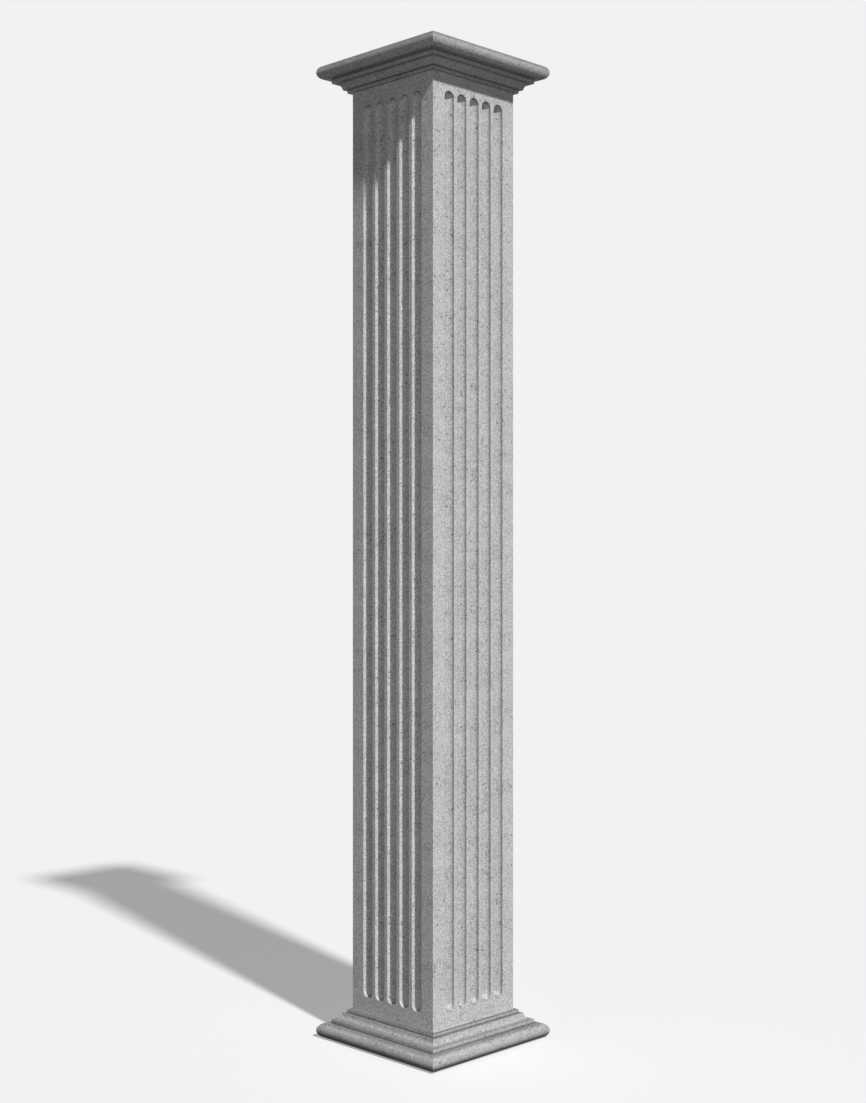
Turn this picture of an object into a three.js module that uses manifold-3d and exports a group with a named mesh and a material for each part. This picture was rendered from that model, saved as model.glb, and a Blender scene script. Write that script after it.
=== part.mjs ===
// Square fluted column of cast stone, built round a steel post.
//
// Four full-height panels with mitred edges make the shaft. Each has a row of round-ended flutes.
// A mitred moulding runs round the foot, the same moulding upside down runs round the head, and a
// slab closes the top. Inside stands a square steel post with a base plate, a cap plate and three
// collars. Hooks cast into the panels' backs hang over the lips of the collars.
//
// Units are millimetres, +Z is up, and the origin is on the floor at the column's axis.
// Every side of the column is modelled as the front side, which faces -Y, and turned into place.

import * as THREE from "three";
import { mergeVertices } from "three/addons/utils/BufferGeometryUtils.js";
import Module from "manifold-3d";

// ---- Driving dimensions ------------------------------------------------------------------------

// Column
const column_height = 2438.4;
const shaft_width = 285;
const seat_gap = 0.3; // between a piece and what it stands on or is fixed to
const mitre_gap = 0.3; // between two mitred ends

// Shaft panels and their flutes
const wall_behind_flutes = 22;
const flute_radius = 16;
const flute_flat = 11.25; // flat strip between two flutes
const flute_side_border = 40; // plain strip between an arris and the first flute
const flute_end_border = 39; // plain strip between a flute's round end and the moulding

// Moulding profile, from the floor up: half-round, fillet, cove, fillet
const half_round_radius = 18.1;
const half_round_set_out = 9.7; // its centre, out from the lower fillet
const lower_fillet_height = 10;
const cove_radius = 16;
const cove_ledge = 3.3; // flat between the lower fillet and the cove
const cove_set_back = 8.5; // from the cove's top in to the upper fillet
const upper_fillet_height = 8.4;
const upper_fillet_projection = 9.4; // out from the shaft

// Top slab
const slab_thickness = 30;
const slab_overlap = 20; // past the shaft's faces, over the ledge in the capital

// Post and plates
const fixing_space = 54.5; // between the post and the backs of the panels
const post_wall = 5;
const base_plate_thickness = 12;
const base_plate_clearance = 9.5; // to the backs of the panels
const cap_plate_thickness = 10;
const cap_plate_overhang = 20; // past the post, on each side

// Anchors
const stud_diameter = 16;
const stud_hole_clearance = 2; // on the diameter
const stud_stand = 8; // above its nut
const nut_height = 13;
const nut_rim = 4; // from its bore to the middle of a flat
const nut_bore_clearance = 0.6; // on the diameter
const washer_thickness = 3;
const washer_rim = 6; // from its bore to its edge

// Collars and hooks
const collar_plate = 6;
const collar_end_distance = 300; // from the floor, and from the column's top
const lip_thickness = 5;
const lip_height = 25;
const lip_length = 90;
const lip_stand_off = 16; // from the panel's back to the lip
const hook_thickness = 5;
const hook_width = 60;
const hook_foot_drop = 55; // foot plate, below the hook's top
const hook_leg_clearance = 10; // over the collar's plate
const hook_tail_depth = 14; // cast into the panel
const hook_tail_height = 8;
const hook_tail_width = 40;

// Capital dowels
const dowel_diameter = 10;
const dowel_clearance = 0.3; // all round
const dowel_below_slab = 15;
const dowel_side_distance = 60; // from the shaft's arris
const dowel_in_panel = 22;
const dowel_in_moulding = 13;

// Bearing strips
const strip_thickness = 6;
const strip_inset = 4; // from the panel's face and from its back
const strip_end_clearance = 15; // from its ends to the backs of the next panels

// Facets
const flute_facets = 24; // round a whole turn
const half_round_facets = 12;
const cove_facets = 6;
const hole_facets = 16; // round a whole turn

// ---- Worked out from them ----------------------------------------------------------------------

const shaft_half = shaft_width / 2;
const panel_thickness = flute_radius + wall_behind_flutes;
const panel_back = shaft_half - panel_thickness;
const panel_foot = strip_thickness + seat_gap;
const slab_underside = column_height - slab_thickness;
const panel_head = slab_underside - seat_gap;
const moulding_back = shaft_half + seat_gap;
const moulding_height = 2 * half_round_radius + lower_fillet_height + cove_radius + upper_fillet_height;

const slab_half = shaft_half + slab_overlap;
const post_half = panel_back - fixing_space;
const post_corner_radius = 2 * post_wall; // as on hollow sections
const cap_plate_half = post_half + cap_plate_overhang;
const cap_plate_underside = slab_underside - seat_gap - cap_plate_thickness;
const base_plate_half = panel_back - base_plate_clearance;
const lip_outside = panel_back - lip_stand_off;
const washer_diameter = stud_diameter + stud_hole_clearance + 2 * washer_rim;
const nut_flats = stud_diameter + nut_bore_clearance + 2 * nut_rim;
const nut_corners = nut_flats / Math.cos(Math.PI / 6);

// Studs stand midway between the post and the edge of the base plate, near its corners.
const stud_distance = (post_half + base_plate_half) / 2;
const quarters = [[1, 1], [-1, 1], [-1, -1], [1, -1]];
const stud_places = quarters.map((quarter) => quarter.map((sign) => sign * stud_distance));
const dowel_places = [-1, 1].map((side) => side * (shaft_half - dowel_side_distance));
const collar_levels = {
  low: collar_end_distance,
  middle: column_height / 2,
  high: column_height - collar_end_distance,
};

const sides = ["front", "right", "back", "left"];

const cast_stone = new THREE.MeshStandardMaterial({ color: 0xb4b4b2, roughness: 0.92, metalness: 0 });
const galvanised_steel = new THREE.MeshStandardMaterial({ color: 0x9ba0a3, roughness: 0.5, metalness: 0.9 });
const primed_steel = new THREE.MeshStandardMaterial({ color: 0x6b3a30, roughness: 0.7, metalness: 0 });
const stainless_steel = new THREE.MeshStandardMaterial({ color: 0xb9bbbc, roughness: 0.35, metalness: 1 });
const hard_plastic = new THREE.MeshStandardMaterial({ color: 0x2c2d2f, roughness: 0.6, metalness: 0 });

const column = new THREE.Group();
column.name = "fluted_column";

// ---- Helpers -----------------------------------------------------------------------------------

const wasm = await Module();
wasm.setup();

// A closed three.js geometry as a solid that can be joined and cut.
function solid(geometry) {
  const plain = geometry.clone();
  plain.deleteAttribute("normal");
  plain.deleteAttribute("uv");
  const merged = mergeVertices(plain, 1e-4);
  return new wasm.Manifold(new wasm.Mesh({
    numProp: 3,
    vertProperties: new Float32Array(merged.attributes.position.array),
    triVerts: new Uint32Array(merged.index.array),
  }));
}

// A solid back as a three.js geometry.
function geometry_of(body) {
  const mesh = body.getMesh();
  const geometry = new THREE.BufferGeometry();
  geometry.setAttribute("position", new THREE.BufferAttribute(new Float32Array(mesh.vertProperties), 3));
  geometry.setIndex(new THREE.BufferAttribute(new Uint32Array(mesh.triVerts), 1));
  geometry.computeVertexNormals();
  return geometry;
}

// The first geometry with the others joined to it.
function join(first, ...others) {
  return geometry_of(others.reduce((body, other) => body.add(solid(other)), solid(first)));
}

// The geometry with every cutter taken out of it.
function cut(geometry, cutters) {
  return geometry_of(cutters.reduce((body, cutter) => body.subtract(solid(cutter)), solid(geometry)));
}

function add(parent, name, geometry, material) {
  const mesh = new THREE.Mesh(geometry, material);
  mesh.name = name;
  parent.add(mesh);
}

// A block between two corners, given as [x, y, z].
function block(low, high) {
  const size = high.map((value, axis) => value - low[axis]);
  const middle = high.map((value, axis) => (value + low[axis]) / 2);
  return new THREE.BoxGeometry(...size).translate(...middle);
}

// A plate or tube: a flat outline raised from one height to another.
function raised(outline, bottom, top, curve_segments = 4) {
  const depth = top - bottom;
  return new THREE.ExtrudeGeometry(outline, { depth, bevelEnabled: false, curveSegments: curve_segments })
    .translate(0, 0, bottom);
}

// A closed outline through corners given as [x, y].
function outline_of(corners) {
  return new THREE.Shape(corners.map((corner) => new THREE.Vector2(...corner)));
}

// A square about the axis.
function square(half) {
  return outline_of(quarters.map((quarter) => quarter.map((sign) => sign * half)));
}

// A square about the axis with round corners, drawn into an outline or a hole.
function round_square(half, radius, outline) {
  const centre = half - radius;
  quarters.forEach(([x, y], i) => {
    outline.absarc(x * centre, y * centre, radius, (i * Math.PI) / 2, ((i + 1) * Math.PI) / 2);
  });
  outline.closePath();
  return outline;
}

// A round hole in an outline.
function round_hole(x, y, diameter) {
  return new THREE.Path().absarc(x, y, diameter / 2, 0, 2 * Math.PI);
}

// A ring with a round bore: a washer, or a nut when it has six sides.
function ring(x, y, diameter, sides_round, bore, bottom, top) {
  const corners = Array.from({ length: sides_round }, (_, i) => {
    const angle = (2 * Math.PI * i) / sides_round;
    return [x + (diameter / 2) * Math.cos(angle), y + (diameter / 2) * Math.sin(angle)];
  });
  const outline = outline_of(corners);
  outline.holes.push(round_hole(x, y, bore));
  return raised(outline, bottom, top, hole_facets / 2);
}

// A round bar towards the front, between two distances from the axis.
function bar_to_front(x, z, diameter, near, far) {
  return new THREE.CylinderGeometry(diameter / 2, diameter / 2, far - near, hole_facets)
    .translate(x, -(near + far) / 2, z);
}

// A section carried along the front side. The section's x is the distance from the column's axis,
// its y is the height, and reach_of says how far to each side a point at that distance goes.
function front_length(section, reach_of) {
  const geometry = new THREE.ExtrudeGeometry(section, { depth: 1, bevelEnabled: false });
  const position = geometry.attributes.position;
  for (let i = 0; i < position.count; i += 1) {
    const distance = position.getX(i);
    const side = position.getZ(i) > 0.5 ? -1 : 1;
    position.setXYZ(i, side * reach_of(distance), -distance, position.getY(i));
  }
  return geometry;
}

// At a 45 degree mitre a point is as far to the side as it is from the axis.
const to_mitre = (distance) => distance - mitre_gap / Math.SQRT2;

// ---- Shaft panels ------------------------------------------------------------------------------

// As many flutes as fit between the plain borders, centred on the face.
function flute_places() {
  const pitch = 2 * flute_radius + flute_flat;
  const field = shaft_width - 2 * flute_side_border;
  const count = Math.max(1, Math.floor((field + flute_flat) / pitch + 1e-6));
  return Array.from({ length: count }, (_, i) => (i - (count - 1) / 2) * pitch);
}

// A flute is cut by a bar with round ends, whose axis lies in the face of the panel.
function flute_cutter(x) {
  const lower_centre = moulding_height + flute_end_border + flute_radius;
  const upper_centre = column_height - lower_centre;
  return new THREE.CapsuleGeometry(flute_radius, upper_centre - lower_centre, flute_facets / 4, flute_facets)
    .rotateX(Math.PI / 2)
    .translate(x, -shaft_half, (lower_centre + upper_centre) / 2);
}

// The bar that pins a capital length to its panel, or with a clearance the hole that it fills.
function dowel(x, clearance) {
  return bar_to_front(
    x,
    slab_underside - dowel_below_slab,
    dowel_diameter + 2 * clearance,
    shaft_half - dowel_in_panel - clearance,
    moulding_back + dowel_in_moulding + clearance,
  );
}

// The tail of a hook, or with a clearance the pocket that it fills in the panel's back.
function hook_tail(level, clearance) {
  const middle = level + lip_height;
  const side = hook_tail_width / 2 + clearance;
  const rise = hook_tail_height / 2 + clearance;
  const deepest = panel_back + hook_tail_depth + clearance;
  const nearest = panel_back - hook_thickness;
  return block([-side, -deepest, middle - rise], [side, -nearest, middle + rise]);
}

function shaft_panel() {
  const section = outline_of([
    [panel_back, panel_foot],
    [shaft_half, panel_foot],
    [shaft_half, panel_head],
    [panel_back, panel_head],
  ]);
  return cut(front_length(section, to_mitre), [
    ...flute_places().map(flute_cutter),
    ...dowel_places.map((x) => dowel(x, dowel_clearance)),
    ...Object.values(collar_levels).map((level) => hook_tail(level, seat_gap)),
  ]);
}

// ---- Mouldings ---------------------------------------------------------------------------------

// The profile of the base from the floor up, as distance from the axis and height. height_of turns
// it upside down for the capital, whose back has a rebate that takes the edge of the top slab.
function moulding_section(height_of, rebate_depth, rebate_height) {
  const upper_fillet = shaft_half + upper_fillet_projection;
  const cove_centre = upper_fillet + cove_set_back + cove_radius;
  const lower_fillet = cove_centre + cove_ledge;
  const half_round_centre = lower_fillet + half_round_set_out;
  const half_round_top = 2 * half_round_radius;
  const cove_foot = half_round_top + lower_fillet_height;
  const cove_top = cove_foot + cove_radius;
  const points = [];
  const point = (distance, height) => points.push([distance, height_of(height)]);

  for (let i = 0; i <= half_round_facets; i += 1) {
    const angle = Math.PI * (i / half_round_facets - 0.5);
    point(half_round_centre + half_round_radius * Math.cos(angle), half_round_radius * (1 + Math.sin(angle)));
  }
  point(lower_fillet, half_round_top);
  point(lower_fillet, cove_foot);
  for (let i = 0; i <= cove_facets; i += 1) {
    const angle = (Math.PI * i) / (2 * cove_facets);
    point(cove_centre - cove_radius * Math.sin(angle), cove_top - cove_radius * Math.cos(angle));
  }
  point(upper_fillet, cove_top);
  point(upper_fillet, moulding_height);
  point(moulding_back, moulding_height);
  if (rebate_depth > 0) {
    point(moulding_back, rebate_height);
    point(moulding_back + rebate_depth, rebate_height);
  }
  point(moulding_back + rebate_depth, 0);
  return outline_of(points);
}

function base_moulding() {
  return front_length(moulding_section((height) => height, 0, 0), to_mitre);
}

function capital_moulding() {
  const upside_down = (height) => column_height - height;
  const section = moulding_section(upside_down, slab_overlap, slab_thickness + seat_gap);
  return cut(front_length(section, to_mitre), dowel_places.map((x) => dowel(x, dowel_clearance)));
}

// ---- Hooks and bearing strips ------------------------------------------------------------------

// A hook has a foot plate on the panel's back, a top over the collar's lip, a leg down behind the
// lip and a tail cast into the stone.
function panel_hook(level) {
  const foot_outside = panel_back - seat_gap;
  const foot_inside = foot_outside - hook_thickness;
  const leg_outside = lip_outside - lip_thickness - seat_gap;
  const leg_inside = leg_outside - hook_thickness;
  const under_top = level + lip_height + seat_gap;
  const top = under_top + hook_thickness;
  const section = outline_of([
    [foot_outside, top],
    [leg_inside, top],
    [leg_inside, level + hook_leg_clearance],
    [leg_outside, level + hook_leg_clearance],
    [leg_outside, under_top],
    [foot_inside, under_top],
    [foot_inside, top - hook_foot_drop],
    [foot_outside, top - hook_foot_drop],
  ]);
  return join(front_length(section, () => hook_width / 2), hook_tail(level, 0));
}

// A strip under a panel's foot.
function bearing_strip() {
  const side = panel_back - strip_end_clearance;
  return block(
    [-side, strip_inset - shaft_half, 0],
    [side, -panel_back - strip_inset, strip_thickness],
  );
}

// ---- Post, plates, collars and anchors ---------------------------------------------------------

function post() {
  const outline = round_square(post_half, post_corner_radius, new THREE.Shape());
  const bore = round_square(post_half - post_wall, post_corner_radius - post_wall, new THREE.Path());
  outline.holes.push(bore);
  return raised(outline, base_plate_thickness + seat_gap, cap_plate_underside - seat_gap);
}

function base_plate() {
  const outline = square(base_plate_half);
  const hole = stud_diameter + stud_hole_clearance;
  outline.holes.push(...stud_places.map(([x, y]) => round_hole(x, y, hole)));
  return raised(outline, 0, base_plate_thickness, hole_facets / 2);
}

// A square plate round the post, with an upright lip along the middle of each edge.
function support_collar(level) {
  const outline = square(lip_outside);
  outline.holes.push(round_square(post_half + seat_gap, post_corner_radius + seat_gap, new THREE.Path()));
  const plate = raised(outline, level - collar_plate, level);
  const lip = () => block(
    [-lip_length / 2, -lip_outside, level - collar_plate],
    [lip_length / 2, lip_thickness - lip_outside, level + lip_height],
  );
  return join(plate, ...sides.map((_, quarter) => lip().rotateZ((quarter * Math.PI) / 2)));
}

// ---- The column --------------------------------------------------------------------------------

sides.forEach((side, quarter) => {
  const face = new THREE.Group();
  face.rotation.z = (quarter * Math.PI) / 2;
  column.add(face);
  add(face, `shaft_panel_${side}`, shaft_panel(), cast_stone);
  add(face, `base_moulding_${side}`, base_moulding(), cast_stone);
  add(face, `capital_moulding_${side}`, capital_moulding(), cast_stone);
  add(face, `bearing_strip_${side}`, bearing_strip(), hard_plastic);
  for (const [name, level] of Object.entries(collar_levels)) {
    add(face, `panel_hook_${side}_${name}`, panel_hook(level), galvanised_steel);
  }
  dowel_places.forEach((x, i) => {
    add(face, `capital_dowel_${side}_${i + 1}`, dowel(x, 0), stainless_steel);
  });
});

add(column, "top_slab", block(
  [-slab_half, -slab_half, slab_underside],
  [slab_half, slab_half, column_height],
), cast_stone);

add(column, "post", post(), primed_steel);
add(column, "post_base_plate", base_plate(), primed_steel);
add(column, "post_cap_plate", block(
  [-cap_plate_half, -cap_plate_half, cap_plate_underside],
  [cap_plate_half, cap_plate_half, cap_plate_underside + cap_plate_thickness],
), primed_steel);
for (const [name, level] of Object.entries(collar_levels)) {
  add(column, `support_collar_${name}`, support_collar(level), primed_steel);
}

stud_places.forEach(([x, y], i) => {
  const washer_bottom = base_plate_thickness + seat_gap;
  const nut_bottom = washer_bottom + washer_thickness + seat_gap;
  const nut_top = nut_bottom + nut_height;
  const stud_top = nut_top + stud_stand;
  const stud = new THREE.CylinderGeometry(stud_diameter / 2, stud_diameter / 2, stud_top, hole_facets)
    .rotateX(Math.PI / 2)
    .translate(x, y, stud_top / 2);
  add(column, `anchor_stud_${i + 1}`, stud, galvanised_steel);
  add(column, `anchor_washer_${i + 1}`, ring(x, y, washer_diameter, hole_facets,
    stud_diameter + stud_hole_clearance, washer_bottom, washer_bottom + washer_thickness), galvanised_steel);
  add(column, `anchor_nut_${i + 1}`, ring(x, y, nut_corners, 6,
    stud_diameter + nut_bore_clearance, nut_bottom, nut_top), galvanised_steel);
});

export default column;
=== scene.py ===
# %% [markdown]
# # A square fluted column of cast stone
#
# The real object is a hollow column: four full-height stone panels with mitred edges stand round a
# steel post, a mitred moulding runs round the foot, and the same moulding upside down runs round
# the head. Each panel has five round-ended flutes.
#
# The frame loaded here holds every piece at its real size and place. This script gives the stone
# pieces their fine surfaces, gives every piece its finish, and sets the floor, the light and the
# camera. Everything is in metres, and the column's axis is the Z axis.

import bpy
import numpy as np
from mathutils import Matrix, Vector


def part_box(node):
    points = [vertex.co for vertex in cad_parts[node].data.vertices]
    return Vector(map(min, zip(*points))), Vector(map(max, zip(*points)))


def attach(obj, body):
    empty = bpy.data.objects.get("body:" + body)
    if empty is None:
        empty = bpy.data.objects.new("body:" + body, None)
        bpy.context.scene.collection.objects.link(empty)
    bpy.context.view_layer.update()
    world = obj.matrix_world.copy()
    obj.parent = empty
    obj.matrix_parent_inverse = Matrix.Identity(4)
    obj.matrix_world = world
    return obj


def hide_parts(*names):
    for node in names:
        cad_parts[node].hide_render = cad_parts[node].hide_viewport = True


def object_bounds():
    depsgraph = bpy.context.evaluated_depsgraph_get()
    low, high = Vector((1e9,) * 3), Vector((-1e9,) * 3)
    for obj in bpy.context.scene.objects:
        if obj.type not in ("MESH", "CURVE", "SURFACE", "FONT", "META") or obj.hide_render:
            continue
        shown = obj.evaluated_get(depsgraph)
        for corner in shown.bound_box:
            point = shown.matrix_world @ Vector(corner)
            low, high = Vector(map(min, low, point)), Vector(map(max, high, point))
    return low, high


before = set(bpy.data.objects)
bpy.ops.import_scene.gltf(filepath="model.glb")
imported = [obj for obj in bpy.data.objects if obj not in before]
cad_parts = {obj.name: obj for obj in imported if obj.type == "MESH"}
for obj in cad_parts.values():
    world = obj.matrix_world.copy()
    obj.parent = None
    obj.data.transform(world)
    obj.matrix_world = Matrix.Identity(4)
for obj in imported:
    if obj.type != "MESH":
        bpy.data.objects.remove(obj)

cad_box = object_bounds()
SIDES = ("front", "right", "back", "left")
print("column box in metres:", [tuple(round(v, 4) for v in corner) for corner in cad_box])

# %% [markdown]
# ## Camera
#
# The column is seen level with the middle of its height and exactly corner-on, from a little over
# four metres. With the camera level, all upright edges stay upright. The focal length is given for
# the long side of the picture, which here is the upright one.

# %% Camera
CAMERA_DISTANCE = 4.0547
FOCAL_LENGTH_MM = 52.74
SENSOR_LONG_SIDE_MM = 36.0
FARTHEST_SEEN = 500  # past the edge of the floor


def look_level(distance, height):
    """A camera on the diagonal between the front and the right face, turned to the axis."""
    data = bpy.data.cameras.new("camera")
    data.lens = FOCAL_LENGTH_MM
    data.sensor_width = SENSOR_LONG_SIDE_MM
    data.clip_end = FARTHEST_SEEN
    camera = bpy.data.objects.new("camera", data)
    bpy.context.scene.collection.objects.link(camera)
    along = distance / np.sqrt(2)
    camera.location = (along, -along, height)
    camera.rotation_euler = (np.radians(90), 0, np.radians(45))
    return camera


column_top = cad_box[1].z
bpy.context.scene.camera = look_level(CAMERA_DISTANCE, column_top / 2)
bpy.context.scene.view_settings.view_transform = "Standard"
print("camera height:", round(column_top / 2, 4))

# %% [markdown]
# ## From arrays to meshes
#
# Every stone surface below is worked out as a grid of points, and a piece is several grids that
# meet edge to edge. One function turns them into a closed mesh. It numbers the grids' points, gives
# points that lie in the same place one number, and drops the corner that a four-sided face loses
# where a grid runs into a pole. Each point carries two more values beside its place: how much the
# stone there is worn, as on an outer edge, and how much painted shade it carries, as darker stone
# in inner corners, on ledges, under the capital and in the flutes.

# %% Grids and closed meshes
POINT_VALUES = 5  # x, y, z, worn, painted shade
WELD = 2e-6
WELD_OFFSET = 0.123  # keeps round sizes off the border between two cells of the weld
SHARP_ANGLE = 38  # degrees, past which an edge isn't shaded as round


def grid_faces(rows, columns, first):
    """The four corners of each cell of a grid whose points are numbered row by row."""
    number = first + np.arange(rows * columns).reshape(rows, columns)
    corners = (number[:-1, :-1], number[:-1, 1:], number[1:, 1:], number[1:, :-1])
    return np.stack([corner.ravel() for corner in corners], -1)


def closed_mesh(name, grids, caps=()):
    """Welds grids (rows, columns, 5) and flat caps (points, 5) into one mesh."""
    sheets = [grid.reshape(-1, POINT_VALUES) for grid in grids]
    first = np.cumsum([0] + [len(sheet) for sheet in sheets + list(caps)])
    points = np.concatenate(sheets + list(caps))
    cells = np.floor(points[:, :3] / WELD + WELD_OFFSET).astype(np.int64)
    _, kept, number = np.unique(cells, axis=0, return_index=True, return_inverse=True)
    number = number.ravel()
    quads = np.concatenate([
        grid_faces(*grid.shape[:2], start) for grid, start in zip(grids, first)
    ])
    quads = number[quads]
    own_corner = quads != np.roll(quads, 1, axis=1)
    whole = own_corner.sum(1) > 2
    loops = [quads[whole][own_corner[whole]]]
    sizes = [own_corner[whole].sum(1)]
    for cap, start in zip(caps, first[len(grids):]):
        loops.append(number[start:start + len(cap)])
        sizes.append([len(cap)])
    loops = np.concatenate(loops)
    sizes = np.concatenate(sizes)

    mesh = bpy.data.meshes.new(name)
    mesh.vertices.add(len(kept))
    mesh.loops.add(len(loops))
    mesh.polygons.add(len(sizes))
    mesh.vertices.foreach_set("co", points[kept, :3].astype(np.float32).ravel())
    mesh.loops.foreach_set("vertex_index", loops.astype(np.int32))
    mesh.polygons.foreach_set("loop_start", (np.cumsum(sizes) - sizes).astype(np.int32))
    # Column 4 holds painted shade: darker stone that stands in for shade.
    for column, channel in ((3, "worn"), (4, "soiled")):
        attribute = mesh.attributes.new(channel, "FLOAT", "POINT")
        attribute.data.foreach_set("value", points[kept, column].astype(np.float32))
    mesh.update(calc_edges=True)
    mesh.validate()
    mesh.polygons.foreach_set("use_smooth", np.ones(len(mesh.polygons), bool))
    mesh.set_sharp_from_angle(angle=np.radians(SHARP_ANGLE))
    return mesh


# %% [markdown]
# One side of the column is worked out once, as the front side, and turned a quarter at a time for
# the others. A stone piece rides on the column's one body and stands for its plain solid in the
# frame; its stone finish is given further down.

# %% Pieces on a side
def turned(points, quarter):
    """Points turned about the column's axis by quarter turns, anticlockwise from above."""
    cos, sin = [(1, 0), (0, 1), (-1, 0), (0, -1)][quarter]
    out = points.copy()
    out[..., 0] = cos * points[..., 0] - sin * points[..., 1]
    out[..., 1] = sin * points[..., 0] + cos * points[..., 1]
    return out


def volume(mesh):
    """The litres in a closed mesh: the sum of the tetrahedra from the origin to each face."""
    mesh.calc_loop_triangles()
    corners = np.empty(len(mesh.vertices) * 3)
    mesh.vertices.foreach_get("co", corners)
    triangles = np.empty(len(mesh.loop_triangles) * 3, np.int32)
    mesh.loop_triangles.foreach_get("vertices", triangles)
    a, b, c = corners.reshape(-1, 3)[triangles.reshape(-1, 3)].transpose(1, 0, 2)
    return 1000 * np.einsum("ij,ij->i", a, np.cross(b, c)).sum() / 6


def open_edges(mesh):
    """How many edges aren't shared by exactly two faces."""
    faces_at = np.zeros(len(mesh.edges), int)
    edge_of_loop = np.empty(len(mesh.loops), np.int32)
    mesh.loops.foreach_get("edge_index", edge_of_loop)
    np.add.at(faces_at, edge_of_loop, 1)
    return int((faces_at != 2).sum())


def stone_piece(name, grids, caps, replaced):
    """A finished stone piece, which stands for one node of the frame."""
    piece = bpy.data.objects.new(name, closed_mesh(name, grids, caps))
    bpy.context.scene.collection.objects.link(piece)
    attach(piece, "root")
    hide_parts(replaced)
    return piece


def side_pieces(kind, grids, caps):
    """The same piece on each of the four sides."""
    made = []
    for quarter, side in enumerate(SIDES):
        here = [turned(grid, quarter) for grid in grids]
        ends = [turned(cap, quarter) for cap in caps]
        made.append(stone_piece(f"{kind}_{side}_stone", here, ends, f"{kind}_{side}"))
    mesh = made[0].data
    print(f"{kind}: {volume(mesh):.2f} litres, {len(mesh.loop_triangles)} triangles,", end=" ")
    print(open_edges(mesh), "open edges")
    return made


# %% [markdown]
# ## Edges of cast stone
#
# Stone cast in a mould never has knife edges. Its outer edges are eased by about half a millimetre,
# and its inner corners keep the small radius of the mould. Each corner of a profile is therefore
# replaced by a parabola that starts and ends a little away from it. Two more points beyond each end
# keep the soft shading close to the corner and say how far its wear reaches, or, in an inner
# corner, how far the painted shade laid there reaches.

# %% Eased corners
EASE = 0.0006  # from the corner to the start of its curve
EASE_STEPS = 4
SHADING_HOLD = 0.0004  # past the curve
WEAR_REACH = 0.0028  # from the corner


def eased(before, corner, after, soil_reach=0.0):
    """A corner of a profile as points (across, height, worn, painted shade).

    The curve is (1-t)^2 A + 2(1-t)t C + t^2 B, where C is the corner and A and B lie EASE from it.
    A corner given a reach of painted shade is an inner one, darkened there as shade; the others are
    worn.
    """
    before, corner, after = (np.array(point, float) for point in (before, corner, after))
    back = (before - corner) / np.linalg.norm(before - corner)
    on = (after - corner) / np.linalg.norm(after - corner)
    t = np.linspace(0, 1, EASE_STEPS + 1)[:, None]
    start, stop = corner + EASE * back, corner + EASE * on
    curve = (1 - t) ** 2 * start + 2 * (1 - t) * t * corner + t**2 * stop
    hold = EASE + SHADING_HOLD
    reach = soil_reach or WEAR_REACH
    points = np.vstack([
        corner + reach * back, corner + hold * back, curve, corner + hold * on, corner + reach * on
    ])
    marked = np.ones(len(points))
    marked[[0, -1]] = 0
    none = np.zeros_like(marked)
    return np.column_stack([points, none, marked] if soil_reach else [points, marked, none])


def plain(*points):
    """Profile points that are neither worn nor darkened with painted shade."""
    points = np.array(points, float).reshape(-1, 2)
    return np.column_stack([points, np.zeros((len(points), 2))])


def arc(centre, radius, start, stop, steps):
    """Profile points centre + radius (cos, sin), from start to stop degrees."""
    angle = np.radians(np.linspace(start, stop, steps + 1))
    return plain(np.array(centre) + radius * np.column_stack([np.cos(angle), np.sin(angle)]))


def smooth(value, low, high):
    """0 up to low, 1 from high, and t^2 (3 - 2t) between them."""
    t = np.clip((value - low) / (high - low), 0, 1)
    return t * t * (3 - 2 * t)


# %% [markdown]
# ## The mouldings
#
# From the floor up, the base moulding is a half-round, a low fillet, a cove and a second fillet
# against the shaft. The capital is the same moulding upside down, with a rebate behind it for the
# slab that closes the top. It could be a curve with a bevel, but a profile carried along the side
# by arithmetic keeps every size exact. The 45 degree mitres need nothing more: a point that is d
# from the axis goes exactly d to each side.

# %% Sizes taken from the frame
shaft_face = -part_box("shaft_panel_front")[0].y
panel_back = -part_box("shaft_panel_front")[1].y
panel_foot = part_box("shaft_panel_front")[0].z
panel_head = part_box("shaft_panel_front")[1].z
moulding_back = -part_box("base_moulding_front")[1].y
moulding_reach = -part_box("base_moulding_front")[0].y
moulding_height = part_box("base_moulding_front")[1].z
slab_low, slab_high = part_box("top_slab")
MITRE_GAP = 0.0003
print("from the axis to the shaft's face", round(shaft_face, 4), "and to the moulding's edge",
      round(moulding_reach, 4), "which is", round(moulding_height, 4), "high")

# %% Moulding profile
HALF_ROUND_RADIUS = 0.0181
LOWER_FILLET_HEIGHT = 0.010
COVE_RADIUS = 0.016
COVE_LEDGE = 0.0033
COVE_SET_BACK = 0.0085
UPPER_FILLET_PROJECTION = 0.0094
HALF_ROUND_STEPS = 36
COVE_STEPS = 14
COVE_END = 184.5  # degrees, where the cove runs into its eased upper edge
MOULDING_STEPS = 40


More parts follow.
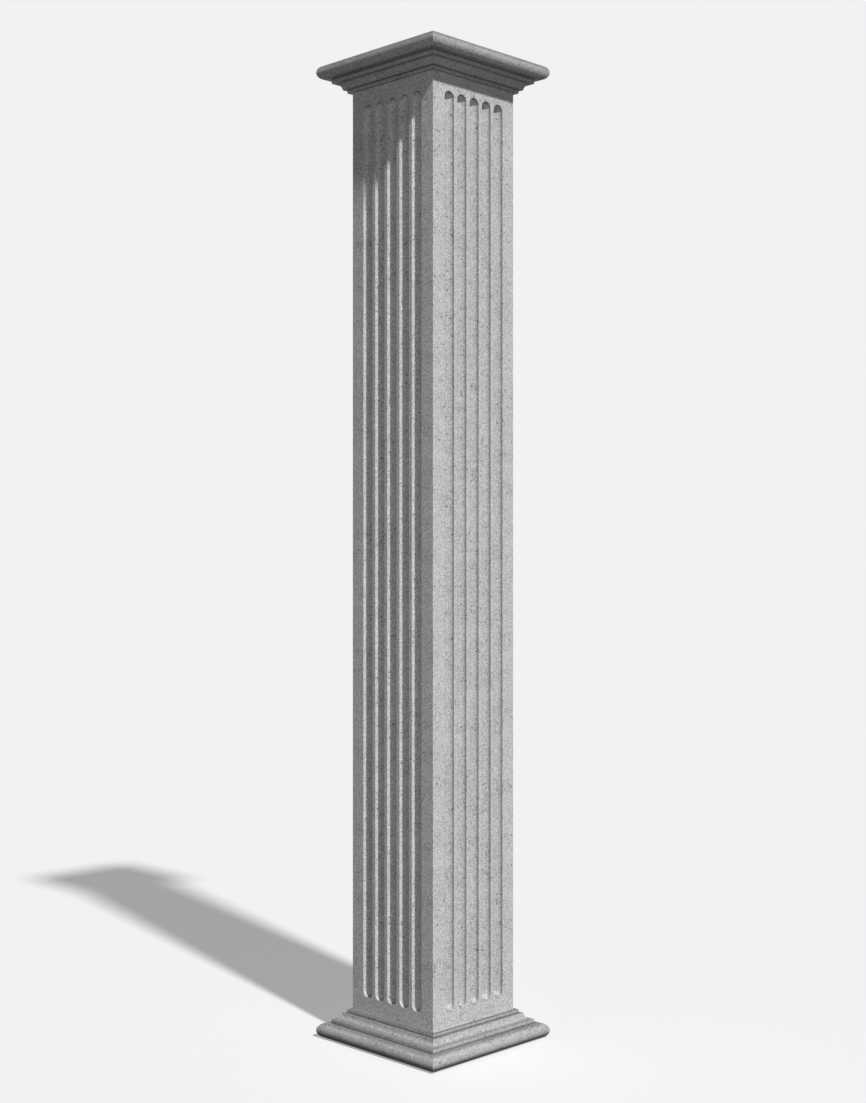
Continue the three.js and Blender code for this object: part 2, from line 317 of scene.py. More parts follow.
def moulding_profile(soil_reach, rebate_depth=0.0, rebate_height=0.0):
    """The closed outline of the base, anticlockwise, as (distance, height, worn, painted shade)."""
    upper = shaft_face + UPPER_FILLET_PROJECTION
    cove_inside = upper + COVE_SET_BACK
    cove_centre = cove_inside + COVE_RADIUS
    lower = cove_centre + COVE_LEDGE
    round_centre = moulding_reach - HALF_ROUND_RADIUS
    round_top = 2 * HALF_ROUND_RADIUS
    cove_foot = round_top + LOWER_FILLET_HEIGHT
    cove_top = cove_foot + COVE_RADIUS
    cove = arc((cove_centre, cove_top), COVE_RADIUS, 270, COVE_END, COVE_STEPS)
    cove[-1, 2] = 1
    edge_of_cove = eased((cove_inside, cove_foot), (cove_inside, cove_top), (upper, cove_top))
    parts = [
        arc((round_centre, HALF_ROUND_RADIUS), HALF_ROUND_RADIUS, -90, 90, HALF_ROUND_STEPS),
        eased((round_centre, round_top), (lower, round_top), (lower, cove_foot), soil_reach),
        eased((lower, round_top), (lower, cove_foot), (cove_centre, cove_foot)),
        cove,
        edge_of_cove[2:],
        eased((cove_inside, cove_top), (upper, cove_top), (upper, moulding_height), soil_reach),
        eased((upper, cove_top), (upper, moulding_height), (moulding_back, moulding_height)),
        plain((moulding_back, moulding_height)),
    ]
    if rebate_depth:
        parts.append(plain((moulding_back, rebate_height)))
        parts.append(plain((moulding_back + rebate_depth, rebate_height)))
    parts.append(plain((moulding_back + rebate_depth, 0)))
    return np.concatenate(parts)


def along_side(profile, steps, gap=MITRE_GAP):
    """The profile carried along the front side between its two mitres.

    x = u (distance - gap / sqrt 2), y = -distance and z = height, for u from 1 to -1.
    """
    u = np.linspace(1, -1, steps + 1)[:, None]
    loop = np.vstack([profile, profile[:1]])
    distance, height = loop[:, 0], loop[:, 1]
    grid = np.empty((steps + 1, len(loop), POINT_VALUES))
    grid[..., 0] = u * (distance - gap / np.sqrt(2))
    grid[..., 1] = -distance
    grid[..., 2] = height
    grid[..., 3:] = loop[:, 2:]
    return grid


def upside_down(profile):
    """The base's outline as the capital's, still anticlockwise."""
    out = profile[::-1].copy()
    out[:, 1] = column_top - out[:, 1]
    return out


def weathered(profile, most, clean, full):
    """Painted shade, up to most, where the outward normal's height lies further from clean towards
    full.

    On an anticlockwise outline the normal is the way along it, turned a quarter turn clockwise.
    """
    along = np.roll(profile[:, :2], -1, axis=0) - np.roll(profile[:, :2], 1, axis=0)
    normal_height = -along[:, 0] / np.linalg.norm(along, axis=1)
    towards = 1 if full > clean else -1
    soil = most * smooth(towards * normal_height, towards * clean, towards * full)
    out = profile.copy()
    out[:, 3] = np.maximum(out[:, 3], soil)
    return out


# %% Base and capital
BASE_SOIL_REACH = 0.0046  # painted shade, this far from an inner corner
CAPITAL_SOIL_REACH = 0.0016
SLAB_JOINT = MITRE_GAP

# Most painted shade, and the normal's height where it starts and where it is full.
LEDGE_SOIL = (0.6, 0.75, 1.0)  # painted shade on the base's upward ledges
FOOT_SOIL = (1.0, 0.0, -0.55)  # painted shade under the lowest half-round, beside the floor
SOFFIT_SOIL = (0.8, -0.85, -1.0)  # painted shade on the faces under the capital that look down
TOP_SOIL = (0.77, 0.05, 0.75)  # painted shade on the upper half of the capital and on the slab
SHELF_SOIL = 0.84  # painted shade on the topmost ledge, against the shaft


def moulding(kind, profile):
    """The four lengths of a moulding. Each end is the outline itself, as a flat cap."""
    grid = along_side(profile, MOULDING_STEPS)
    right_end, left_end = grid[0, :-1][::-1], grid[-1, :-1]
    return side_pieces(kind, [grid], [right_end, left_end])


rebate = slab_high.x + SLAB_JOINT - moulding_back, column_top - slab_low.z + SLAB_JOINT
base = moulding_profile(BASE_SOIL_REACH)
# Painted shade on the base's ledges, its topmost ledge and under its half-round, and on the
# capital's faces that look down and up.
base = weathered(base, *LEDGE_SOIL)
base[base[:, 1] > moulding_height - EASE, 3] = SHELF_SOIL
base = weathered(base, *FOOT_SOIL)
capital = upside_down(moulding_profile(CAPITAL_SOIL_REACH, *rebate))
capital = weathered(capital, *SOFFIT_SOIL)
capital = weathered(capital, *TOP_SOIL)
stone = moulding("base_moulding", base) + moulding("capital_moulding", capital)
print("rebate for the slab, deep and high:", [round(size, 4) for size in rebate])

# %% [markdown]
# ## The fluted panels
#
# A flute is cut with a round-nosed cutter: its section is a half circle, and it ends in a quarter
# of a ball. So it is one profile, from the bottom of the flute out to its rim, carried round a
# stadium: up the right side, round the top, down the left side and round the foot. A boolean cut
# would leave ragged triangles along the rim. Here the rim is a row of points, which the flat
# strips of the face between the flutes share.

# %% Panel sizes
FLUTE_RADIUS = 0.016
FLUTE_FLAT = 0.01125
FLUTE_SIDE_BORDER = 0.040
FLUTE_END_BORDER = 0.039
RIM_EASE = 0.0005
ARRIS_EASE = 0.0007
FLUTE_STEPS = 18
END_STEPS = 32
SHAFT_STEPS = 60
PLAIN_STEPS = 6  # above and below the flutes
STRIP_STEPS = 3  # across a flat strip
ROUNDING = 1e-6  # lets a row of flutes that just fits count as fitting

flute_pitch = 2 * FLUTE_RADIUS + FLUTE_FLAT
flute_field = 2 * (shaft_face - FLUTE_SIDE_BORDER)
flute_count = int(np.floor((flute_field + FLUTE_FLAT) / flute_pitch + ROUNDING))
flute_centres = (np.arange(flute_count) - (flute_count - 1) / 2) * flute_pitch
lower_centre = moulding_height + FLUTE_END_BORDER + FLUTE_RADIUS
upper_centre = column_top - lower_centre
print(flute_count, "flutes, centred at", np.round(flute_centres, 4), "from", round(lower_centre, 4))


# %% Flutes
SHELTERED_SOIL = 0.26  # painted shade all over a flute but high on its left wall
RIM_SOIL = 0.7  # painted shade in a line inside the rim on the right side
HEAD_SOIL = 0.9  # painted shade in the same line under the head
SILL_SOIL = 0.7  # painted shade in a patch at the lowest point of the foot
SCOURED = 0.65  # share of the painted shade taken off the foot's right half, which so shows lighter


def flute_profile():
    """From the bottom of a flute out to the flat face, as (distance, depth, worn, painted shade).

    The half circle has radius r and the rim's ease has radius e. The centre of the ease lies e deep
    and sqrt(r^2 + 2re) out, so that it touches both the half circle and the face.
    """
    ease_out = np.sqrt(FLUTE_RADIUS**2 + 2 * FLUTE_RADIUS * RIM_EASE)
    touch = np.degrees(np.arctan2(ease_out, RIM_EASE))
    wall = arc((0, 0), FLUTE_RADIUS, 90, 90 - touch, FLUTE_STEPS)
    rim = arc((ease_out, RIM_EASE), RIM_EASE, 270 - touch, 270, EASE_STEPS)[1:]
    flat = plain((ease_out + SHADING_HOLD, 0), (ease_out + WEAR_REACH, 0))
    return np.vstack([wall, rim, flat])


def round_flute(profile, centre):
    """The profile carried round a flute, anticlockwise as seen from outside.

    x = centre + distance cos a and z = end + distance sin a, where a is 0 up the right side, turns
    to 180 degrees about the upper end, is 180 down the left side, and turns on about the foot. The
    painted shade depends on the direction round the flute and on how far up the wall a point lies.
    """
    rise = np.linspace(lower_centre, upper_centre, SHAFT_STEPS + 1)
    turn = np.radians(np.linspace(0, 180, END_STEPS + 1))
    cos = np.concatenate([np.ones_like(rise), np.cos(turn), -np.ones_like(rise), -np.cos(turn)])
    sin = np.concatenate([np.zeros_like(rise), np.sin(turn), np.zeros_like(rise), -np.sin(turn)])
    end = np.concatenate([
        rise, np.full_like(turn, upper_centre), rise[::-1], np.full_like(turn, lower_centre)
    ])
    distance = profile[:, 0]
    grid = np.empty((len(cos), len(profile), POINT_VALUES))
    grid[..., 0] = centre + cos[:, None] * distance
    grid[..., 1] = profile[:, 1] - shaft_face
    grid[..., 2] = end[:, None] + sin[:, None] * distance
    grid[..., 3:] = profile[:, 2:]
    inside = distance <= FLUTE_RADIUS
    up_the_wall = distance / FLUTE_RADIUS * inside

    # Painted shade everywhere but high on the left wall, and less in the foot's right half.
    unwashed = smooth(cos[:, None] * up_the_wall, -0.9, -0.5) * inside
    running = smooth(-sin[:, None] * up_the_wall, 0.1, 0.4) * smooth(cos, -0.3, 0.3)[:, None]
    sheltered = SHELTERED_SOIL * unwashed * (1 - SCOURED * running)

    # Painted shade on the last seventh of the wall, on the right and under the head.
    beside = np.maximum(np.maximum(RIM_SOIL * cos, HEAD_SOIL * sin), 0)[:, None]
    under_rim = beside * smooth(up_the_wall, 0.86, 0.99)

    # A patch of painted shade at the lowest point of the foot, out over the eased rim.
    sunk = profile[:, 1] > 0
    sill = smooth(-sin, 0.75, 1.0)[:, None] * smooth(distance / FLUTE_RADIUS, 0.3, 0.8) * sunk

    for soil in (sheltered, under_rim, SILL_SOIL * sill):
        grid[..., 4] = np.maximum(grid[..., 4], soil)
    return grid


# %% The flat face between the flutes
def face_rows(reach):
    """Heights up the face, and how far from its centre line a flute's outline lies at each of them.

    The rows pass through the outline's own points. Above and below a flute the outline is its
    centre line.
    """
    quarter = np.radians(np.linspace(0, 90, END_STEPS // 2 + 1))
    turn_height, turn_width = reach * np.sin(quarter), reach * np.cos(quarter)
    rise = np.linspace(lower_centre, upper_centre, SHAFT_STEPS + 1)
    below = np.linspace(panel_foot, lower_centre - reach, PLAIN_STEPS + 1)[:-1]
    above = np.linspace(upper_centre + reach, panel_head, PLAIN_STEPS + 1)[1:]
    heights = np.concatenate([
        below, lower_centre - turn_height[:0:-1], rise, upper_centre + turn_height[1:], above
    ])
    widths = np.concatenate([
        np.zeros_like(below), turn_width[:0:-1], np.full_like(rise, reach), turn_width[1:],
        np.zeros_like(above)
    ])
    return heights, widths


def face_strip(left, right, heights):
    """The flat face between two edges that are given row by row, in STRIP_STEPS equal steps."""
    across = np.linspace(0, 1, STRIP_STEPS + 1)
    grid = np.zeros((len(heights), len(across), POINT_VALUES))
    grid[..., 0] = left[:, None] * (1 - across) + right[:, None] * across
    grid[..., 1] = -shaft_face
    grid[..., 2] = heights[:, None]
    return grid


def arris_profile():
    """From the face round the eased arris and along the mitre to the back, as (x, y, worn, painted
    shade).

    The ease turns through 45 degrees, to meet the one of the next panel across the joint.
    """
    centre = shaft_face - ARRIS_EASE
    face = plain((centre - WEAR_REACH, -shaft_face), (centre - SHADING_HOLD, -shaft_face))
    curve = arc((centre, -centre), ARRIS_EASE, -90, -45, EASE_STEPS)
    mitre = plain((centre, -centre), (panel_back, -panel_back))
    profile = np.vstack([face, curve, mitre])
    profile[1:-2, 2] = 1
    profile[:, 0] -= MITRE_GAP / np.sqrt(2)
    return profile


# %% Panels
def once(points):
    """An outline without the points that repeat the one before them."""
    step = np.linalg.norm(points - np.roll(points, 1, axis=0), axis=1)
    return points[step > WELD]


def panel_grids():
    """A panel's flutes, face, arrises, mitres and back as grids, and its foot and head as caps."""
    profile = flute_profile()
    heights, widths = face_rows(profile[-1, 0])
    arris = arris_profile()
    inner = [face_strip(left + widths, right - widths, heights)
             for left, right in zip(flute_centres[:-1], flute_centres[1:])]
    border = face_strip(flute_centres[-1] + widths, np.full_like(heights, arris[0, 0]), heights)
    corner = np.zeros((len(heights), len(arris), POINT_VALUES))
    corner[..., :2] = arris[:, :2]
    corner[..., 2] = heights[:, None]
    corner[..., 3:] = arris[:, 2:]
    right = np.concatenate([border, corner[:, 1:]], 1)
    left = right[:, ::-1] * np.array([-1, 1, 1, 1, 1])
    back = np.stack([right[:, -1], left[:, 0]], 1)
    flutes = [round_flute(profile, centre) for centre in flute_centres]
    sections = [left, *inner, right]
    foot = np.concatenate([section[0] for section in sections])
    head = np.concatenate([section[-1] for section in sections])
    return [*flutes, *sections, back], [once(foot)[::-1], once(head)]


stone += side_pieces("shaft_panel", *panel_grids())

# %% [markdown]
# ## The slab on top
#
# A square slab closes the hollow column and lies in the capital's rebate, level with its top. Its
# section runs from the axis along the underside, up the edge and back along the top. The same
# function as for the mouldings carries it along each side, here with no gap at the corners, so the
# four quarters are one closed stone.

# %% Top slab
SLAB_STEPS = 24


def slab_profile():
    """Out along the underside, up the edge and back along the top."""
    low, high, half = slab_low.z, slab_high.z, slab_high.x
    lower = eased((0, low), (half, low), (half, high))
    upper = eased((half, low), (half, high), (0, high))
    return np.concatenate([plain((0, low)), lower, upper, plain((0, high))])


# Painted shade on the slab's top, as on the capital's upper half.
slab_side = along_side(weathered(slab_profile(), *TOP_SOIL), SLAB_STEPS, gap=0)
slab_sides = [turned(slab_side, quarter) for quarter in range(len(SIDES))]
slab = stone_piece("top_slab_stone", slab_sides, [], "top_slab")
stone.append(slab)
print("slab litres", round(volume(slab.data), 2), "open edges", open_edges(slab.data))

# %% [markdown]
# ## Materials
#
# Every finish is a small network of nodes on the places of the mesh itself, so it stays put from
# every side. One function adds a node and links its inputs, and one turns the usual hex colours
# into linear light, which the shader reckons in.

# %% Node and colour helpers
def linear(hex_colour):
    """An sRGB hex colour as linear light.

    Each channel is c / 12.92 up to 0.04045, and ((c + 0.055) / 1.055)^2.4 above it.
    """
    c = np.array([int(hex_colour[place:place + 2], 16) for place in (1, 3, 5)]) / 255
    return (*np.where(c <= 0.04045, c / 12.92, ((c + 0.055) / 1.055) ** 2.4), 1.0)


def add_node(tree, kind, inputs=None, **settings):
    """Adds a node with its settings, and gives each input a value or a link from an output."""
    node = tree.nodes.new("ShaderNode" + kind)
    for name, value in settings.items():
        setattr(node, name, value)
    for name, value in (inputs or {}).items():
        if isinstance(value, bpy.types.NodeSocket):
            tree.links.new(value, node.inputs[name])
        else:
            node.inputs[name].default_value = value
    return node


def new_material(name):
    """A material with an empty tree, the tree and the places of the mesh in metres."""
    material = bpy.data.materials.new(name)
    material.use_nodes = True
    tree = material.node_tree
    tree.nodes.clear()
    place = add_node(tree, "TexCoord").outputs["Object"]
    return material, tree, place


def finish_material(tree, shader):
    """Puts the shader on the surface."""
    add_node(tree, "OutputMaterial", {"Surface": shader.outputs["BSDF"]})


def per_metre(millimetres):
    """The scale at which a pattern on metres repeats about once in so many millimetres."""
    return 1000 / millimetres


# %% [markdown]
# ## Cast stone
#
# The stone is a mix of pale cement, sand and crushed limestone that was tamped damp into a mould
# and washed with acid after it had set. That takes the cement skin away and leaves an even, matt
# surface of sand grains, with a few darker grits and small pinholes. Real grains are 0.5 to 2 mm.
# One picture element here is about 2.5 mm, so they are drawn at 3 to 3.5 mm to show as they do to
# the eye. A picture of stone could be laid on instead, but patterns in space need no unwrapping and
# run through a joint as the real mix does.

# %% Cast stone
SAND_MM = 3.4  # real sand is 0.5 to 1 mm, drawn coarser so that it shows
GRIT_MM = 3.0  # real crushed stone is 1 to 2 mm, drawn coarser so that it shows
SPECK_MM = 8  # from one pinhole or dark grit to the next; each is up to 7 mm across
CROWD_MM = 55  # a crowd of them, as left by one tamping of the mix
CROWD_FLATTENED = (1.0, 1.0, 2.0)  # crowds of grit lie level, half as high as they are wide
CLOUD_MM = 150  # lighter and darker clouds
TINT_MM = 260  # cooler and warmer patches
WORN_SHADE = 1.03  # an outer edge, rubbed clean
SOILED_SHADE = 0.35  # where the painted shade is full
GRAIN_RELIEF = 0.0008  # metres, as are the pits
PIT_RELIEF = 0.0004


def cast_stone(name, cool, warm):
    """Acid-washed semi-dry cast stone: light grey, rough as fine sandpaper, no sheen at all."""
    material, tree, place = new_material(name)
    sand = add_node(tree, "TexNoise", {"Vector": place, "Scale": per_metre(SAND_MM), "Detail": 1.0,
                                       "Roughness": 0.6})
    grit = add_node(tree, "TexVoronoi", {"Vector": place, "Scale": per_metre(GRIT_MM)})
    grit_grey = add_node(tree, "SeparateColor", {"Color": grit.outputs["Color"]})
    cloud = add_node(tree, "TexNoise", {"Vector": place, "Scale": per_metre(CLOUD_MM),
                                        "Detail": 3.0})
    tint = add_node(tree, "TexNoise", {"Vector": place, "Scale": per_metre(TINT_MM), "Detail": 1.0})
    flattened = add_node(tree, "Mapping", {"Vector": place, "Scale": CROWD_FLATTENED})
    crowd = add_node(tree, "TexNoise", {"Vector": flattened.outputs["Vector"],
                                        "Scale": per_metre(CROWD_MM), "Detail": 2.0})
    speck = add_node(tree, "TexVoronoi", {"Vector": place, "Scale": per_metre(SPECK_MM)})
    speck_size = add_node(tree, "SeparateColor", {"Color": speck.outputs["Color"]})

    # Each grain is lighter or darker than the mean by a share of it.
    parts = [
        (sand.outputs["Fac"], (0.25, 0.75), (-0.27, 0.27)),
        (grit_grey.outputs["Red"], (0.0, 1.0), (-0.22, 0.22)),
        (cloud.outputs["Fac"], (0.3, 0.7), (-0.03, 0.03)),
        (crowd.outputs["Fac"], (0.3, 0.7), (0.05, -0.05)),
    ]
    shade = 1.0
    for value, (low, high), (dark, light) in parts:
        part = add_node(tree, "MapRange", {"Value": value, "From Min": low, "From Max": high,
                                           "To Min": dark, "To Max": light})
        shade = add_node(tree, "Math", {0: part.outputs["Result"], 1: shade},
                         operation="ADD").outputs[0]

    # Each cell of the coarse pattern holds a pinhole or a dark grit of its own size at its middle.
    # It starts above 1, so more than half of its radius is wholly dark. The damp mix was tamped in
    # layers, so the grits lie in level crowds, with few and small ones between.
    reach = add_node(tree, "MapRange", {"Value": speck_size.outputs["Green"], "From Min": 0.4,
                                        "From Max": 1.0, "To Min": 0.12, "To Max": 0.42})
    crowded = add_node(tree, "MapRange", {"Value": crowd.outputs["Fac"], "From Min": 0.4,
                                          "From Max": 0.62, "To Min": 0.5, "To Max": 1.1})
    reach = add_node(tree, "Math", {0: reach.outputs["Result"], 1: crowded.outputs["Result"]},
                     operation="MULTIPLY")
    depth = add_node(tree, "MapRange", {"Value": speck.outputs["Distance"], "From Min": 0.0,
                                        "From Max": reach.outputs[0], "To Min": 2.5,
                                        "To Max": 0.0}, interpolation_type="SMOOTHSTEP")
    speck_dark = add_node(tree, "MapRange", {"Value": depth.outputs["Result"], "To Min": 1.0,
                                             "To Max": 0.4})
    worn = add_node(tree, "MapRange", {
        "Value": add_node(tree, "Attribute", attribute_name="worn").outputs["Fac"],
        "To Min": 1.0, "To Max": WORN_SHADE})
    # Painted shade from the mesh: darker stone in inner corners, on ledges, under the capital and
    # in the flutes.
    soiled = add_node(tree, "MapRange", {
        "Value": add_node(tree, "Attribute", attribute_name="soiled").outputs["Fac"],
        "To Min": 1.0, "To Max": SOILED_SHADE})
    for factor in (speck_dark, worn, soiled):
        shade = add_node(tree, "Math", {0: shade, 1: factor.outputs["Result"]},
                         operation="MULTIPLY").outputs[0]
    hue = add_node(tree, "Mix", {"Factor": tint.outputs["Fac"], "A": linear(cool),
                                 "B": linear(warm)}, data_type="RGBA")
    colour = add_node(tree, "VectorMath", {0: hue.outputs["Result"], "Scale": shade},
                      operation="SCALE")

    relief = add_node(tree, "Bump", {"Height": sand.outputs["Fac"], "Strength": 0.35,
                                     "Distance": GRAIN_RELIEF})
    pits = add_node(tree, "Bump", {"Height": depth.outputs["Result"], "Strength": 0.8,
                                   "Distance": PIT_RELIEF, "Normal": relief.outputs["Normal"]},
                    invert=True)
    rough = add_node(tree, "MapRange", {"Value": grit_grey.outputs["Green"], "To Min": 0.82,
                                        "To Max": 0.96})
    shader = add_node(tree, "BsdfPrincipled", {
        "Base Color": colour.outputs["Vector"], "Roughness": rough.outputs["Result"],
        "Normal": pits.outputs["Normal"], "Specular IOR Level": 0.3,
    })
    finish_material(tree, shader)
    return material


panel_finish = cast_stone("acid_washed_cast_stone", "#cacbcc", "#cccbca")
moulding_finish = cast_stone("acid_washed_cast_stone_darker_batch", "#b3b4b5", "#b5b4b3")
for piece in stone:
    of_panel = piece.name.startswith("shaft_panel")
    piece.data.materials.append(panel_finish if of_panel else moulding_finish)
print(len(stone), "stone pieces,", len(panel_finish.node_tree.nodes), "nodes in each stone finish")

# %% [markdown]
# ## The finishes inside
#
# Behind the stone stand the post, its plates and the collars in red oxide primer, galvanised hooks,
# studs, washers and nuts, stainless dowels, and plastic strips under the panels. These pieces keep
# the frame's own solids, and only their finish is made here.

# %% Red oxide primer
BRUSH_MM = 2.0  # from one brush mark to the next
BRUSH_STRETCH = 0.05  # marks are 20 times as long as wide, up the post
RUN_MM = 60  # thicker and thinner patches


def red_oxide_primer():
    """Steel brushed with red oxide primer: dull, thin over the ridges of the brush marks."""
    material, tree, place = new_material("red_oxide_primer")
    stretched = add_node(tree, "Mapping", {"Vector": place, "Scale": (1.0, 1.0, BRUSH_STRETCH)})
    marks = add_node(tree, "TexNoise", {"Vector": stretched.outputs["Vector"],
                                        "Scale": per_metre(BRUSH_MM), "Detail": 3.0})
    patches = add_node(tree, "TexNoise", {"Vector": place, "Scale": per_metre(RUN_MM),
                                          "Detail": 4.0})
    both = add_node(tree, "Math", {0: marks.outputs["Fac"], 1: patches.outputs["Fac"]},
                    operation="MULTIPLY")
    colour = add_node(tree, "ValToRGB", {"Fac": both.outputs[0]})
    stops = ((0.12, "#5e2f26"), (0.42, "#85473a"))
    for stop, (position, hex_colour) in zip(colour.color_ramp.elements, stops):
        stop.position, stop.color = position, linear(hex_colour)
    relief = add_node(tree, "Bump", {"Height": marks.outputs["Fac"], "Strength": 0.3,
                                     "Distance": 0.0003})
    rough = add_node(tree, "MapRange", {"Value": patches.outputs["Fac"], "To Min": 0.6,
                                        "To Max": 0.85})
    shader = add_node(tree, "BsdfPrincipled", {
        "Base Color": colour.outputs["Color"], "Roughness": rough.outputs["Result"],
        "Normal": relief.outputs["Normal"],
    })
    finish_material(tree, shader)
    return material


# %% Hot-dip galvanising
SPANGLE_MM = 9  # a crystal of zinc
BLOOM_MM = 4  # the dull bloom on it


def hot_dip_zinc():
    """Hot-dip galvanised steel: flat zinc crystals that each catch the light in their own way."""
    material, tree, place = new_material("hot_dip_zinc")
    crystal = add_node(tree, "TexVoronoi", {"Vector": place, "Scale": per_metre(SPANGLE_MM)})
    grey = add_node(tree, "SeparateColor", {"Color": crystal.outputs["Color"]})
    bloom = add_node(tree, "TexNoise", {"Vector": place, "Scale": per_metre(BLOOM_MM),
                                        "Detail": 4.0})
    colour = add_node(tree, "Mix", {"Factor": grey.outputs["Red"], "A": linear("#a3a7a9"),
                                    "B": linear("#c3c6c7")}, data_type="RGBA")
    rough = add_node(tree, "MapRange", {"Value": grey.outputs["Green"], "To Min": 0.38,
                                        "To Max": 0.6})
    relief = add_node(tree, "Bump", {"Height": bloom.outputs["Fac"], "Strength": 0.2,
                                     "Distance": 0.0002})
    shader = add_node(tree, "BsdfPrincipled", {
        "Base Color": colour.outputs["Result"], "Roughness": rough.outputs["Result"],
        "Metallic": 1.0, "Normal": relief.outputs["Normal"],
    })
    finish_material(tree, shader)
    return material


# %% Stainless steel
PICKLE_MM = 0.8  # the grain that pickling leaves


def pickled_stainless():
    """Stainless bar, drawn and pickled: an even satin grey with a very fine grain."""
    material, tree, place = new_material("pickled_stainless_steel")
    grain = add_node(tree, "TexNoise", {"Vector": place, "Scale": per_metre(PICKLE_MM),
                                        "Detail": 3.0})
    colour = add_node(tree, "Mix", {"Factor": grain.outputs["Fac"], "A": linear("#bab7b2"),
                                    "B": linear("#c9c7c3")}, data_type="RGBA")
    rough = add_node(tree, "MapRange", {"Value": grain.outputs["Fac"], "To Min": 0.3,
                                        "To Max": 0.48})
    relief = add_node(tree, "Bump", {"Height": grain.outputs["Fac"], "Strength": 0.15,
                                     "Distance": 0.0001})
    shader = add_node(tree, "BsdfPrincipled", {
        "Base Color": colour.outputs["Result"], "Roughness": rough.outputs["Result"],
        "Metallic": 1.0, "Normal": relief.outputs["Normal"],
    })
    finish_material(tree, shader)
    return material


# %% Moulded polyethylene
TEXTURE_MM = 1.2  # the grain of the mould


def moulded_polyethylene():
    """High-density polyethylene strip: near black, waxy, with the fine texture of its mould."""
    material, tree, place = new_material("moulded_polyethylene")
    grain = add_node(tree, "TexNoise", {"Vector": place, "Scale": per_metre(TEXTURE_MM),
                                        "Detail": 2.0})
    colour = add_node(tree, "Mix", {"Factor": grain.outputs["Fac"], "A": linear("#2a2b2c"),
                                    "B": linear("#353637")}, data_type="RGBA")
    rough = add_node(tree, "MapRange", {"Value": grain.outputs["Fac"], "To Min": 0.45,
                                        "To Max": 0.6})
    relief = add_node(tree, "Bump", {"Height": grain.outputs["Fac"], "Strength": 0.2,
                                     "Distance": 0.0001})
    shader = add_node(tree, "BsdfPrincipled", {
        "Base Color": colour.outputs["Result"], "Roughness": rough.outputs["Result"],
        "IOR": 1.54, "Normal": relief.outputs["Normal"],
    })
    finish_material(tree, shader)
    return material


# %% Finishes on the frame's own pieces
finishes = {
    "cast_stone": panel_finish,
    "primed_steel": red_oxide_primer(),
    "galvanised_steel": hot_dip_zinc(),
    "stainless_steel": pickled_stainless(),
    "hard_plastic": moulded_polyethylene(),
}
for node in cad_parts.values():
    for place in node.material_slots:
        place.material = finishes[place.material.name.split(".")[0]]
shown = [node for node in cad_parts.values() if not node.hide_render]
print(len(shown), "pieces of the frame keep their own solids")

# %% [markdown]
# ## Floor and light
#
# The column stands in an even, pale studio. One lamp from the upper right is far enough away to
# count as parallel light: a sun whose disc is wide enough to soften the shadows. The room itself is
# dim, and soft boxes fill the shade.
#
# The floor and the background are the same pale grey, so the horizon doesn't show. Seen directly
# or mirrored they have that grey, with the lamp's shadow on it. The light that they throw back on
# the stone is weaker, as from a floor that ends a few metres away.

# %% Light seen directly
LIT_GREY = 0.887  # linear light, as is the shadow's
SHADOW_GREY = 0.371


def seen_directly(tree):
    """1 for rays from the camera, or mirrored or passed on by what they met, and 0 for the rest."""
    rays = add_node(tree, "LightPath").outputs
    seen = rays["Is Camera Ray"]
    for other in ("Is Glossy Ray", "Is Transmission Ray"):
        seen = add_node(tree, "Math", {0: seen, 1: rays[other]}, operation="MAXIMUM").outputs[0]
    return seen


def even_grey(level):
    """The same level in red, green and blue."""
    return (level, level, level, 1.0)


# %% Lamp
LAMP_AZIMUTH = np.radians(-13.6)  # anticlockwise from the column's right side
LAMP_ELEVATION = np.radians(46.4)
LAMP_WIDTH = np.radians(3.0)  # six times the sun's, for the soft edges of the floor's shadow
LAMP_STRENGTH = 3.08

lamp = bpy.data.lights.new("key_lamp", "SUN")
lamp.energy = LAMP_STRENGTH
lamp.angle = LAMP_WIDTH
key = bpy.data.objects.new("key_lamp", lamp)
bpy.context.scene.collection.objects.link(key)
key.rotation_euler = (0, np.pi / 2 - LAMP_ELEVATION, LAMP_AZIMUTH)

# %% Room
ROOM_LEVEL = 0.04  # what the room gives the stone from all round

world = bpy.data.worlds.new("studio")
bpy.context.scene.world = world
world.use_nodes = True
tree = world.node_tree
tree.nodes.clear()
grey = add_node(tree, "Mix", {"Factor": seen_directly(tree), "A": ROOM_LEVEL, "B": LIT_GREY})
background = add_node(tree, "Background", {"Color": grey.outputs["Result"], "Strength": 1.0})
add_node(tree, "OutputWorld", {"Surface": background.outputs["Background"]})

# %% Floor
FLOOR_HALF = 150  # so far that its edge, in the background's own grey, doesn't show
FLOOR_BOUNCE = 0.05  # what it throws back on the stone, as a share

lamp_on_floor = LAMP_STRENGTH * np.sin(LAMP_ELEVATION) / np.pi
floor_grey = (LIT_GREY - SHADOW_GREY) / lamp_on_floor
floor_glow = SHADOW_GREY - floor_grey * ROOM_LEVEL
print("floor grey", round(floor_grey, 3), "and glow", round(floor_glow, 3))


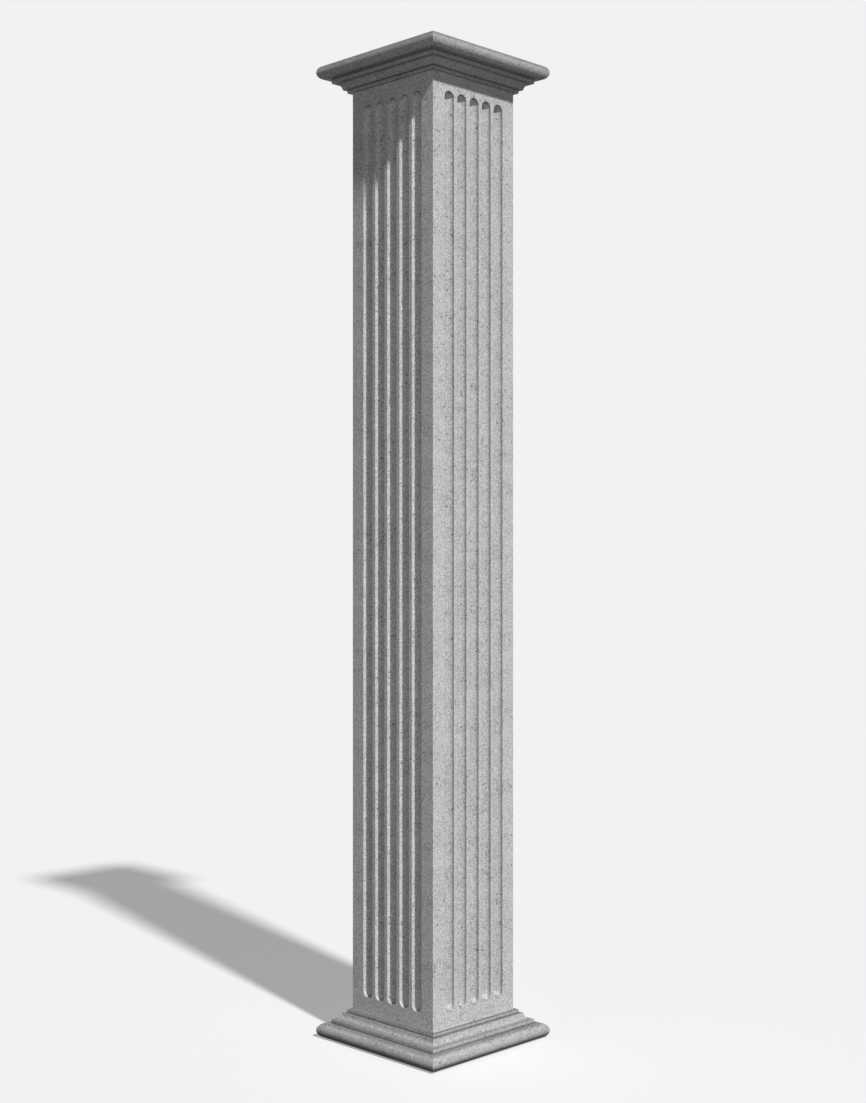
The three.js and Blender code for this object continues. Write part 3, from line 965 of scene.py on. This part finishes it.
def studio_floor():
    """Matt painted floor, whose grey and glow give the lit level and the shadow's level."""
    material, tree, _ = new_material("matt_studio_floor")
    bounce = add_node(tree, "BsdfDiffuse", {"Color": even_grey(FLOOR_BOUNCE)})
    paint = add_node(tree, "BsdfDiffuse", {"Color": even_grey(floor_grey)})
    glow = add_node(tree, "Emission", {"Color": even_grey(1.0), "Strength": floor_glow})
    seen = add_node(tree, "AddShader", {0: paint.outputs["BSDF"], 1: glow.outputs["Emission"]})
    either = add_node(tree, "MixShader", {0: seen_directly(tree), 1: bounce.outputs["BSDF"],
                                          2: seen.outputs["Shader"]})
    add_node(tree, "OutputMaterial", {"Surface": either.outputs["Shader"]})
    return material


corners = [(x * FLOOR_HALF, y * FLOOR_HALF, 0) for x, y in ((-1, -1), (1, -1), (1, 1), (-1, 1))]
floor_mesh = bpy.data.meshes.new("floor")
floor_mesh.from_pydata(corners, [], [(0, 1, 2, 3)])
floor_mesh.materials.append(studio_floor())
floor = bpy.data.objects.new("floor", floor_mesh)
bpy.context.scene.collection.objects.link(floor)

# %% [markdown]
# Two round soft boxes fill the shade. One stands at the camera. Its light comes straight from where
# the picture is taken, so it casts no shadow that shows, reaches into the flutes, and lights the
# capital from below. The other stands behind and lights the sides that the picture doesn't show.
# Light linking keeps both off the floor, which so has one clean shadow.

# %% Soft boxes
CAMERA_AZIMUTH = -45  # degrees, anticlockwise from the column's right side
FRONT_FILL = 0.213  # what it gives a surface that faces it, as a share of a white room's light
BACK_AZIMUTH = 143
BACK_FILL = 0.40
SOFT_BOX_SIZE = 0.5  # across

unfilled = bpy.data.collections.new("left_alone_by_soft_boxes")
unfilled.objects.link(floor)
unfilled.collection_objects[0].light_linking.link_state = "EXCLUDE"


def soft_box(name, azimuth, level):
    """A disc lamp level with the camera and as far from the axis, turned towards the column.

    A disc of P watts gives E = P / (pi d^2) at a distance of d. A white room of level 1 gives pi.
    """
    lamp = bpy.data.lights.new(name, "AREA")
    lamp.shape = "DISK"
    lamp.size = SOFT_BOX_SIZE
    lamp.energy = level * (np.pi * CAMERA_DISTANCE) ** 2
    box = bpy.data.objects.new(name, lamp)
    bpy.context.scene.collection.objects.link(box)
    angle = np.radians(azimuth)
    along, across = CAMERA_DISTANCE * np.cos(angle), CAMERA_DISTANCE * np.sin(angle)
    box.location = (along, across, column_top / 2)
    box.rotation_euler = (np.radians(90), 0, np.radians(azimuth + 90))
    box.light_linking.receiver_collection = unfilled
    print(name, round(lamp.energy, 1), "watts")


soft_box("front_soft_box", CAMERA_AZIMUTH, FRONT_FILL)
soft_box("back_soft_box", BACK_AZIMUTH, BACK_FILL)
